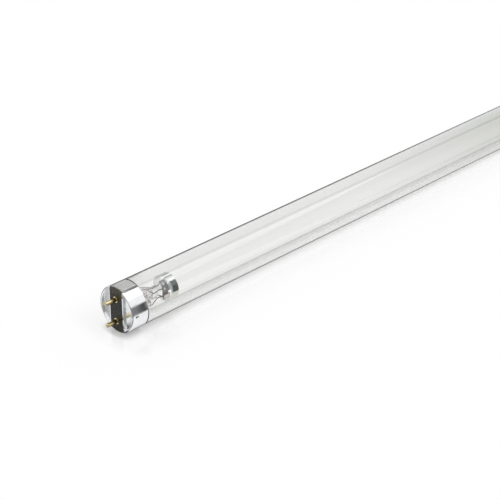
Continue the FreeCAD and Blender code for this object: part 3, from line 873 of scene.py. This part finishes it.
@dataclass
class FineCoil:
    """The coiled coil of a cathode: a fine coil wound again into the coarse one."""

    end: End
    turns: int = 10
    fine_turns: int = 200
    steps: int = 10
    coarse_wire: float = 0.5 * MM
    fine_wire: float = 0.17 * MM
    around: int = 6
    slot: str = "coated_coil"

    def build(self, materials: Materials) -> None:
        """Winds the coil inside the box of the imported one.

        Args:
            materials: The finishes' materials.
        """
        node = f"{self.end.label}_filament"
        low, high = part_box(node)
        middle = (low + high) / 2
        network = Network(f"{node}_winding", {
            "Turns": self.turns, "Fine Turns": self.fine_turns,
            "Steps": self.fine_turns * self.steps,
            "Radius": (high.y - low.y) / 2 - self.coarse_wire / 2,
            "Fine Radius": (self.coarse_wire - self.fine_wire) / 2,
            "Length": high.z - low.z - self.coarse_wire, "Wire Radius": self.fine_wire / 2,
            "Middle": middle.x, "Facing": float(-self.end.value)})
        self.wind(network, materials[self.slot])
        piece = add_mesh(f"{self.end.label}_fine_coil", [], [], materials[self.slot])
        network.grow(piece)
        fit(piece, self.slot, node)

    def wind(self, network: Network, material: bpy.types.Material) -> None:
        """Fills the tree: a line bent into a coil whose own line is a finer coil.

        Args:
            network: The tree.
            material: The coil's material.
        """
        line = network.node("GeometryNodeCurvePrimitiveLine").outputs[0]
        fine_line = network.node("GeometryNodeResampleCurve", {},
                                 {"Curve": line, "Count": network.given("Steps")}).outputs[0]
        along = Value(network, network.node("GeometryNodeSplineParameter").outputs["Factor"])
        coarse = along * network.given("Turns") * math.tau
        fine = along * network.given("Fine Turns") * math.tau
        reach = network.given("Radius") + network.given("Fine Radius") * fine.math("COSINE")
        facing = network.given("Facing")
        height = (along - 0.5) * network.given("Length")
        place = network.vector(
            network.given("Middle") + reach * coarse.math("COSINE") * facing,
            reach * coarse.math("SINE") * facing,
            height + network.given("Fine Radius") * fine.math("SINE"))
        wound = network.node("GeometryNodeSetPosition", {},
                             {"Geometry": fine_line, "Position": place}).outputs[0]
        network.end(network.tube(wound, network.given("Wire Radius"), self.around), material)


@dataclass
class CapsuleTail:
    """The bent end of the capsule's wire, from the loop back past the stem."""

    route: tuple[Point, ...] = (  # millimetres inwards from the cap's face, then y and z
        (20.2, -2.6, -5.2), (20.8, -4.0, -3.7), (21.6, -6.0, -0.5), (22.8, -6.9, 0.9),
        (24.7, -7.4, 0.75), (26.6, -7.5, -0.6), (28.9, -7.5, -1.36))
    wire: float = 0.42 * MM
    step: float = 0.15 * MM
    around: int = 12
    slot: str = "oxidised_wire"

    def build(self, materials: Materials) -> None:
        """Draws the wire along its route.

        Args:
            materials: The finishes' materials.
        """
        face = cap_face(End.NEAR)
        points = [(face + inwards * MM, y * MM, z * MM) for inwards, y, z in self.route]
        network = Network("tail_wire", {"Step": self.step, "Wire Radius": self.wire / 2})
        route = network.node("GeometryNodeMeshToCurve", {},
                             {0: network.entry.outputs["Geometry"]}).outputs[0]
        smooth = network.node("GeometryNodeCurveSplineType", {"spline_type": "CATMULL_ROM"},
                              {"Curve": route}).outputs[0]
        even = network.node("GeometryNodeResampleCurve", {"mode": "LENGTH"},
                            {"Curve": smooth, "Length": network.given("Step")}).outputs[0]
        network.end(network.tube(even, network.given("Wire Radius"), self.around),
                    materials[self.slot])
        piece = add_mesh("near_capsule_tail", points, [], materials[self.slot])
        piece.data.edges.add(len(points) - 1)
        for number, edge in enumerate(piece.data.edges):
            edge.vertices = (number, number + 1)
        network.grow(piece)
        fit(piece, self.slot)


@dataclass
class WeldNuggets:
    """The two bright welds that hold the strip, squeezed flat by the electrodes."""

    places: tuple[Span, ...] = ((28.3, -39.0), (27.7, -59.0))  # millimetres inwards, degrees round
    probe: float = 9.0 * MM
    width: float = 1.5 * MM
    height: float = 0.36 * MM
    ball_radius: float = 0.5
    ball_detail: int = 4
    node: str = "near_capsule_holder"
    slot: str = "holder_strip"
    finish: str = "weld_nugget"
    normal: str = "strip_normal"

    def spots(self) -> tuple[list[Vector], list[Vector]]:
        """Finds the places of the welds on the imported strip.

        Returns:
            The points on its surface, and the normals there.
        """
        strip, face = frame["nodes"][self.node], cap_face(End.NEAR)
        points, normals = [], []
        for inwards, angle in self.places:
            turn = math.radians(angle)
            start = Vector((face + inwards * MM, self.probe * math.sin(turn),
                            self.probe * math.cos(turn)))
            _, point, normal, _ = strip.closest_point_on_mesh(start)
            points.append(point)
            normals.append(normal)
        return points, normals

    def build(self, materials: Materials) -> None:
        """Sets a nugget on the strip at each place, square to its surface.

        Args:
            materials: The finishes' materials.
        """
        points, normals = self.spots()
        network = Network("weld_nuggets", {"Width": self.width, "Height": self.height})
        ball = network.node("GeometryNodeMeshIcoSphere", {}, {
            "Radius": self.ball_radius, "Subdivisions": self.ball_detail}).outputs[0]
        square = network.node("GeometryNodeInputNamedAttribute", {"data_type": "FLOAT_VECTOR"},
                              {"Name": self.normal}).outputs[0]
        turned = network.node("FunctionNodeAlignRotationToVector", {"axis": "Z"},
                              {"Vector": square}).outputs[0]
        width = network.given("Width")
        size = network.vector(width, width, network.given("Height"))
        spots = network.node("GeometryNodeMeshToPoints", {},
                             {0: network.entry.outputs["Geometry"]}).outputs[0]
        placed = network.node("GeometryNodeInstanceOnPoints", {}, {
            "Points": spots, "Instance": ball, "Rotation": turned, "Scale": size}).outputs[0]
        network.end(placed, materials[self.finish])
        piece = add_mesh("near_weld_nuggets", points, [], materials[self.finish])
        attribute = piece.data.attributes.new(self.normal, "FLOAT_VECTOR", "POINT")
        for row, normal in zip(attribute.data, normals):
            row.vector = normal
        network.grow(piece)
        fit(piece, self.slot)


@dataclass
class Carried:
    """The nodes that keep their own shape and take a finish each."""

    replaced: tuple[str, ...] = ("glass_tube", "near_filament", "far_filament")

    def dress(self, materials: Materials) -> None:
        """Gives each node that shows the material of its slot.

        Args:
            materials: The finishes' materials.
        """
        for row in frame["record"]["subparts"]:
            node, slot = row["node"], row["material_slot"]
            if node in self.replaced:
                continue
            for place in frame["nodes"][node].material_slots:
                place.material = materials[slot]
            log.info("%s: %s", node, slot)


class Sight:
    """What a ray has met on its way. All but walls are 0 or 1."""

    def __init__(self, graph: Graph) -> None:
        """Reads the ray's path.

        Args:
            graph: The graph that asks.
        """
        path = graph.node("ShaderNodeLightPath").outputs
        camera, glossy, clear, mirrors, walls = (Value(graph, path[name]) for name in (
            "Is Camera Ray", "Is Glossy Ray", "Is Transmission Ray", "Glossy Depth",
            "Transmission Depth"))
        self.walls = walls
        self.straight = camera
        self.seen = camera.math("MAXIMUM", glossy).math("MAXIMUM", clear)
        self.through = walls.math("GREATER_THAN", 0.5)
        self.bounced = mirrors.math("GREATER_THAN", 0.5)
        self.mirrored = self.seen * self.bounced * walls.math("LESS_THAN", 2.5)


def add_sheet(name: str, reach: Span, foot: Span, top: Span,
              material: bpy.types.Material) -> bpy.types.Object:
    """Makes a rectangle with two edges along X.

    Args:
        name: The object's name.
        reach: Where it starts and ends along X, in metres.
        foot: The y and z of its first edge.
        top: The y and z of its last edge.
        material: Its material.

    Returns:
        The object.
    """
    first, last = reach
    corners = [(first, *foot), (last, *foot), (last, *top), (first, *top)]
    return add_mesh(name, corners, [(0, 1, 2, 3)], material)


@dataclass(frozen=True)
class Camera:
    """The photograph's point of view."""

    place: Point = (-0.6281, -0.4978, 0.3759)
    azimuth: float = -45.55
    elevation: float = 28.01
    lens: float = 104.0
    sensor: float = 36.0
    clip: Span = (0.01, 100.0)

    def source(self, place: Place, turn: float) -> Value:
        """Finds where the lamp mirrors a place in front of it towards the photograph.

        Args:
            place: The place, in millimetres.
            turn: How far round from the top the mirroring line lies, in degrees.

        Returns:
            The x of the mirroring point, in millimetres.
        """
        x, y, z = place
        angle = math.radians(turn)
        side = Vector((0.0, -math.sin(angle), math.cos(angle))) * cad_box[1].z
        start, *eye = self.place
        reach = (Vector((0.0, *eye)) - side).length / MM
        onwards = hypot(y - side.y / MM, z - side.z / MM)
        return (x - start / MM) * reach / (onwards + reach) + start / MM

    def build(self) -> None:
        """Sets the camera up and makes it the scene's."""
        data = bpy.data.cameras.new("camera")
        data.lens, data.sensor_width = self.lens, self.sensor
        data.clip_start, data.clip_end = self.clip
        camera = bpy.data.objects.new("camera", data)
        turn, rise = math.radians(self.azimuth), math.radians(self.elevation)
        back = Vector((math.sin(turn) * math.cos(rise), -math.cos(turn) * math.cos(rise),
                       math.sin(rise)))
        camera.rotation_mode = "QUATERNION"
        camera.rotation_quaternion = (-back).to_track_quat("-Z", "Y")
        camera.location = self.place
        bpy.context.scene.collection.objects.link(camera)
        bpy.context.scene.camera = camera


@dataclass(frozen=True)
class DarkRoom:
    """The dark part of the room, which shows as a band along the near cap's side.

    Front and rear are places along X on the cap, and floor is how far before the lamp's axis the
    dark floor begins, all in millimetres.
    """

    camera: Camera = Camera()
    turn: float = 76.0
    front: Span = (-217.5, -211.0)
    rear: Span = (-209.0, -206.0)
    floor: Span = (36.0, 48.0)
    tones: Span = (0.24, 0.07)

    def band(self, graph: Graph, place: Place) -> tuple[Value, Socket]:
        """Finds what a place in front of the lamp adds to the band.

        Args:
            graph: The graph of what stands or lies there.
            place: The place, in millimetres.

        Returns:
            How far it belongs to the dark part, and the light that it shows.
        """
        start = self.camera.source(place, self.turn)
        first, last = ((tone,) * 3 for tone in self.tones)
        tone = graph.mix(start.rise(*self.front), first, last)
        return 1 - start.rise(*self.rear), graph.glow(tone)


@dataclass(frozen=True)
class Table:
    """A pale table that holds the lamp's shadow near it and turns white further out.

    Spans and bands are distances in millimetres: along X for reaches, across the lamp for upper,
    back and line, past its end for end, gap and strip_start, and from the lamp for the rest.
    """

    room: DarkRoom = DarkRoom()
    size: float = 30.0
    colour: Colour = (0.90, 0.90, 0.895)
    roughness: float = 0.6
    glow_share: tuple[float, float, float] = (0.34, 0.45, 0.96)  # under cap, under tube, further
    glow_start: Span = (4.0, 11.0)
    fade: Span = (14.0, 60.0)
    end_from: float = 7.0
    end_fall: float = 2.8
    cap_reach: Span = (130.0, 212.0)
    cap_spread: float = 0.22
    gloss: float = 0.13
    gloss_roughness: float = 0.07
    gloss_fade: Span = (8.0, 34.0)
    line: Band = (0.5, 3.5, 1.8)
    line_gloss: float = 0.55
    inner_tone: Colour = (0.975, 0.975, 0.97)
    inner_share: float = 0.85
    far_reach: Span = (-20.0, 200.0)
    far_tone: Colour = (0.657, 0.67, 0.61)
    upper: Span = (14.0, 28.0)
    upper_shade: float = 0.08
    contact: Span = (5.5, 9.5)
    contact_tone: float = 0.13
    back: Span = (16.0, 28.0)
    back_end: Span = (7.0, 12.0)
    back_tone: float = 0.20
    end: Span = (3.0, 7.0)
    end_slope: float = 0.954
    end_margin: Span = (6.0, 7.6)
    end_tone: float = 0.34
    gap: Band = (17.6, 19.4, 1.6)
    gap_share: float = 0.8
    strip_start: Span = (0.5, 1.5)
    strip_slope: float = 1.227
    strip_margin: Span = (4.8, 6.2)
    strip_share: float = 0.78

    def build(self) -> None:
        """Lays the table under the lamp."""
        material = bpy.data.materials.new("table")
        graph = Graph.on(material)
        place = graph.axes(graph.place())
        sight = Sight(graph)
        past_end = (abs(place[0]) - cad_box[1].x / MM + self.end_from).math("MAXIMUM", 0.0)
        surface = self.polished(graph, sight, place, past_end)
        for share, light in self.shapes(graph, place, past_end):
            surface = graph.mixed(share * sight.mirrored, surface, light)
        graph.output(surface)
        half, level = self.size / 2, cad_box[0].z
        add_sheet("floor", (-half, half), (-half, level), (half, level), material)

    def polished(self, graph: Graph, sight: Sight, place: Place, past_end: Value) -> Socket:
        """Paints the table as it shows straight, and through the glass.

        Args:
            graph: The table's graph.
            sight: What the ray has met.
            place: The place on the table, in millimetres.
            past_end: How far it lies past the lamp's end.

        Returns:
            The shader.
        """
        x, y, _ = place
        by_cap = abs(x).rise(*self.cap_reach)
        near = hypot(y, past_end * self.end_fall) * (1 - by_cap * self.cap_spread)
        under_cap, under_tube, further = self.glow_share
        low = by_cap.to(under_tube, under_cap)
        glow = low + near.rise(*self.glow_start) * (further - low)
        glow = glow + hypot(y, past_end).rise(*self.fade) * (1 - further)
        table = graph.principled({"Base Color": self.colour, "Roughness": self.roughness,
                                  "Specular IOR Level": 0.0})
        pale = graph.mixed(glow * sight.seen, table, graph.glow(WHITE))
        # painted shade: seen through the glass, the table shows a plain tone that darkens towards
        # the far end and the back
        inner = graph.mix(x.rise(*self.far_reach), self.inner_tone, self.far_tone)
        inner = graph.mix(y.rise(*self.upper) * self.upper_shade, inner, BLACK)
        pale = graph.mixed(sight.through * self.inner_share, pale, graph.glow(inner))
        straight = (1 - near.rise(*self.gloss_fade)) * sight.straight
        line = y.between(*self.line) * sight.through * (1 - sight.bounced)
        share = straight * self.gloss + line * self.line_gloss
        mirror = graph.node("ShaderNodeBsdfGlossy", {}, {"Roughness": self.gloss_roughness})
        return graph.mixed(share, pale, mirror.outputs[0])

    def shapes(self, graph: Graph, place: Place, past_end: Value) -> list[tuple[Value, Socket]]:
        """Lists the darker shapes that the table shows in metal alone, each over the last: a
        painted shadow where the lamp meets it, painted dark patches past the near end and behind
        the lamp that the cap mirrors, and the dark room's band.

        Args:
            graph: The table's graph.
            place: The place on the table, in millimetres.
            past_end: How far it lies past the lamp's end.

        Returns:
            How far each shape covers the place, and its light.
        """
        y = place[1]
        under = 1 - hypot(y, past_end).rise(*self.contact)
        across = (past_end * self.end_slope - y).rise(*self.end_margin)
        gap = 1 - past_end.between(*self.gap) * self.gap_share
        strip = (y - past_end * self.strip_slope).rise(*self.strip_margin)
        strip = strip * past_end.rise(*self.strip_start) * self.strip_share
        wedge = past_end.rise(*self.end) * across * gap + strip
        back = y.rise(*self.back) * (1 - past_end.rise(*self.back_end))
        greys = ((under, self.contact_tone), (wedge, self.end_tone), (back, self.back_tone))
        share, light = self.room.band(graph, place)
        return [*((cover, graph.glow((tone,) * 3)) for cover, tone in greys),
                ((0 - y).rise(*self.room.floor) * share, light)]


@dataclass(frozen=True)
class Sky:
    """White surroundings that light the lamp less than they show."""

    light: float = 0.62
    deep_walls: Span = (4.5, 6.5)
    deep_light: float = 0.1

    def build(self) -> None:
        """Makes the world, darker where metal is seen through many walls of glass."""
        world = bpy.data.worlds.new("surroundings")
        bpy.context.scene.world = world
        graph = Graph.on(world)
        sight = Sight(graph)
        fewest, most = self.deep_walls
        deep = (sight.walls.math("GREATER_THAN", fewest) * sight.walls.math("LESS_THAN", most)
                * sight.bounced)
        strength = self.light + sight.seen * (deep.to(1.0, self.deep_light) - self.light)
        sky = graph.node("ShaderNodeBackground", {}, {"Color": WHITE, "Strength": strength})
        graph.node("ShaderNodeOutputWorld", {}, {"Surface": sky.outputs[0]})


@dataclass(frozen=True)
class Cards:
    """Cards round the lamp, which show in metal and glass alone."""

    room: DarkRoom = DarkRoom()
    slot_tone: Colour = (0.22, 0.22, 0.225)
    slot_height: float = 0.6
    slot_angles: Span = (2.0, 16.0)
    slot_half: float = 3.0
    wall_half: float = 5.0
    wall_edge: Span = (13.0, 21.0)  # where it fades out upwards, in millimetres
    visor_tone: Colour = (0.58, 0.58, 0.56)
    visor_end: Span = (-206.0, -198.0)  # where it fades out along the cap, in millimetres
    visor_reach: Span = (-0.212, -0.14)
    visor_foot: Span = (80.0 * MM, 12.0 * MM)
    visor_top: Span = (12.5 * MM, 60.0 * MM)

    def build(self) -> None:
        """Sets all the cards up."""
        self.add_slot()
        self.add_wall()
        self.add_visor()

    def add_slot(self) -> None:
        """The dark gap between the softbox and the bright wall, high above the lamp."""
        material = bpy.data.materials.new("slot")
        graph = Graph.on(material)
        self.paint(graph, 1.0, graph.glow(self.slot_tone))
        foot, top = ((self.slot_height * math.tan(math.radians(angle)), self.slot_height)
                     for angle in self.slot_angles)
        self.hang("slot", (-self.slot_half, self.slot_half), foot, top, material)

    def add_wall(self) -> None:
        """The dark card in front of the near cap, at the far edge of the room's dark floor."""
        material = bpy.data.materials.new("wall")
        graph = Graph.on(material)
        place = graph.axes(graph.place())
        share, light = self.room.band(graph, place)
        self.paint(graph, share * (1 - place[2].rise(*self.wall_edge)), light)
        away = -self.room.floor[1] * MM
        foot, top = (away, cad_box[0].z), (away, self.wall_edge[1] * MM)
        self.hang("wall", (-self.wall_half, self.wall_half), foot, top, material)

    def add_visor(self) -> None:
        """The grey card behind and above the near cap."""
        material = bpy.data.materials.new("visor")
        graph = Graph.on(material)
        start = self.room.camera.source(graph.axes(graph.place()), 0.0)
        self.paint(graph, 1 - start.rise(*self.visor_end), graph.glow(self.visor_tone))
        self.hang("visor", self.visor_reach, self.visor_foot, self.visor_top, material)

    def paint(self, graph: Graph, share: Any, light: Socket) -> None:
        """Ends a card's graph, clear to every ray that no metal has mirrored."""
        graph.output(graph.mixed(Sight(graph).mirrored * share, graph.clear(), light))

    def hang(self, name: str, reach: Span, foot: Span, top: Span,
             material: bpy.types.Material) -> None:
        """Makes a card that neither shows to the camera nor shades the lamp.

        Args:
            name: The card's name.
            reach: Where it starts and ends along X, in metres.
            foot: The y and z of its first edge.
            top: The y and z of its last edge.
            material: Its material.
        """
        card = add_sheet(name, reach, foot, top, material)
        card.visible_camera = card.visible_diffuse = card.visible_shadow = False


@dataclass(frozen=True)
class Softbox:
    """One large lamp above the table, towards the camera."""

    size: Span = (1.6, 0.9)
    energy: float = 4.2
    place: Point = (0.0, -0.42, 0.95)
    tilt: float = -22.0

    def build(self) -> None:
        """Hangs the lamp."""
        data = bpy.data.lights.new("softbox", "AREA")
        data.shape = "RECTANGLE"
        data.size, data.size_y = self.size
        data.energy = self.energy
        lamp = bpy.data.objects.new("softbox", data)
        lamp.location = self.place
        lamp.rotation_euler = Euler((math.radians(self.tilt), 0.0, 0.0))
        bpy.context.scene.collection.objects.link(lamp)


def main() -> None:
    """Dresses the lamp and sets the stage."""
    logging.basicConfig(level=logging.INFO, format="%(name)s: %(message)s")
    bpy.context.scene.view_settings.view_transform = "Standard"
    materials = Finishes().materials()
    GlassTube().build(materials)
    for end in End:
        FineCoil(end).build(materials)
    WeldNuggets().build(materials)
    CapsuleTail().build(materials)
    Carried().dress(materials)
    for part in (Table(), Sky(), Cards(), Softbox(), Camera()):
        part.build()


if __name__ == "__main__":
    main()
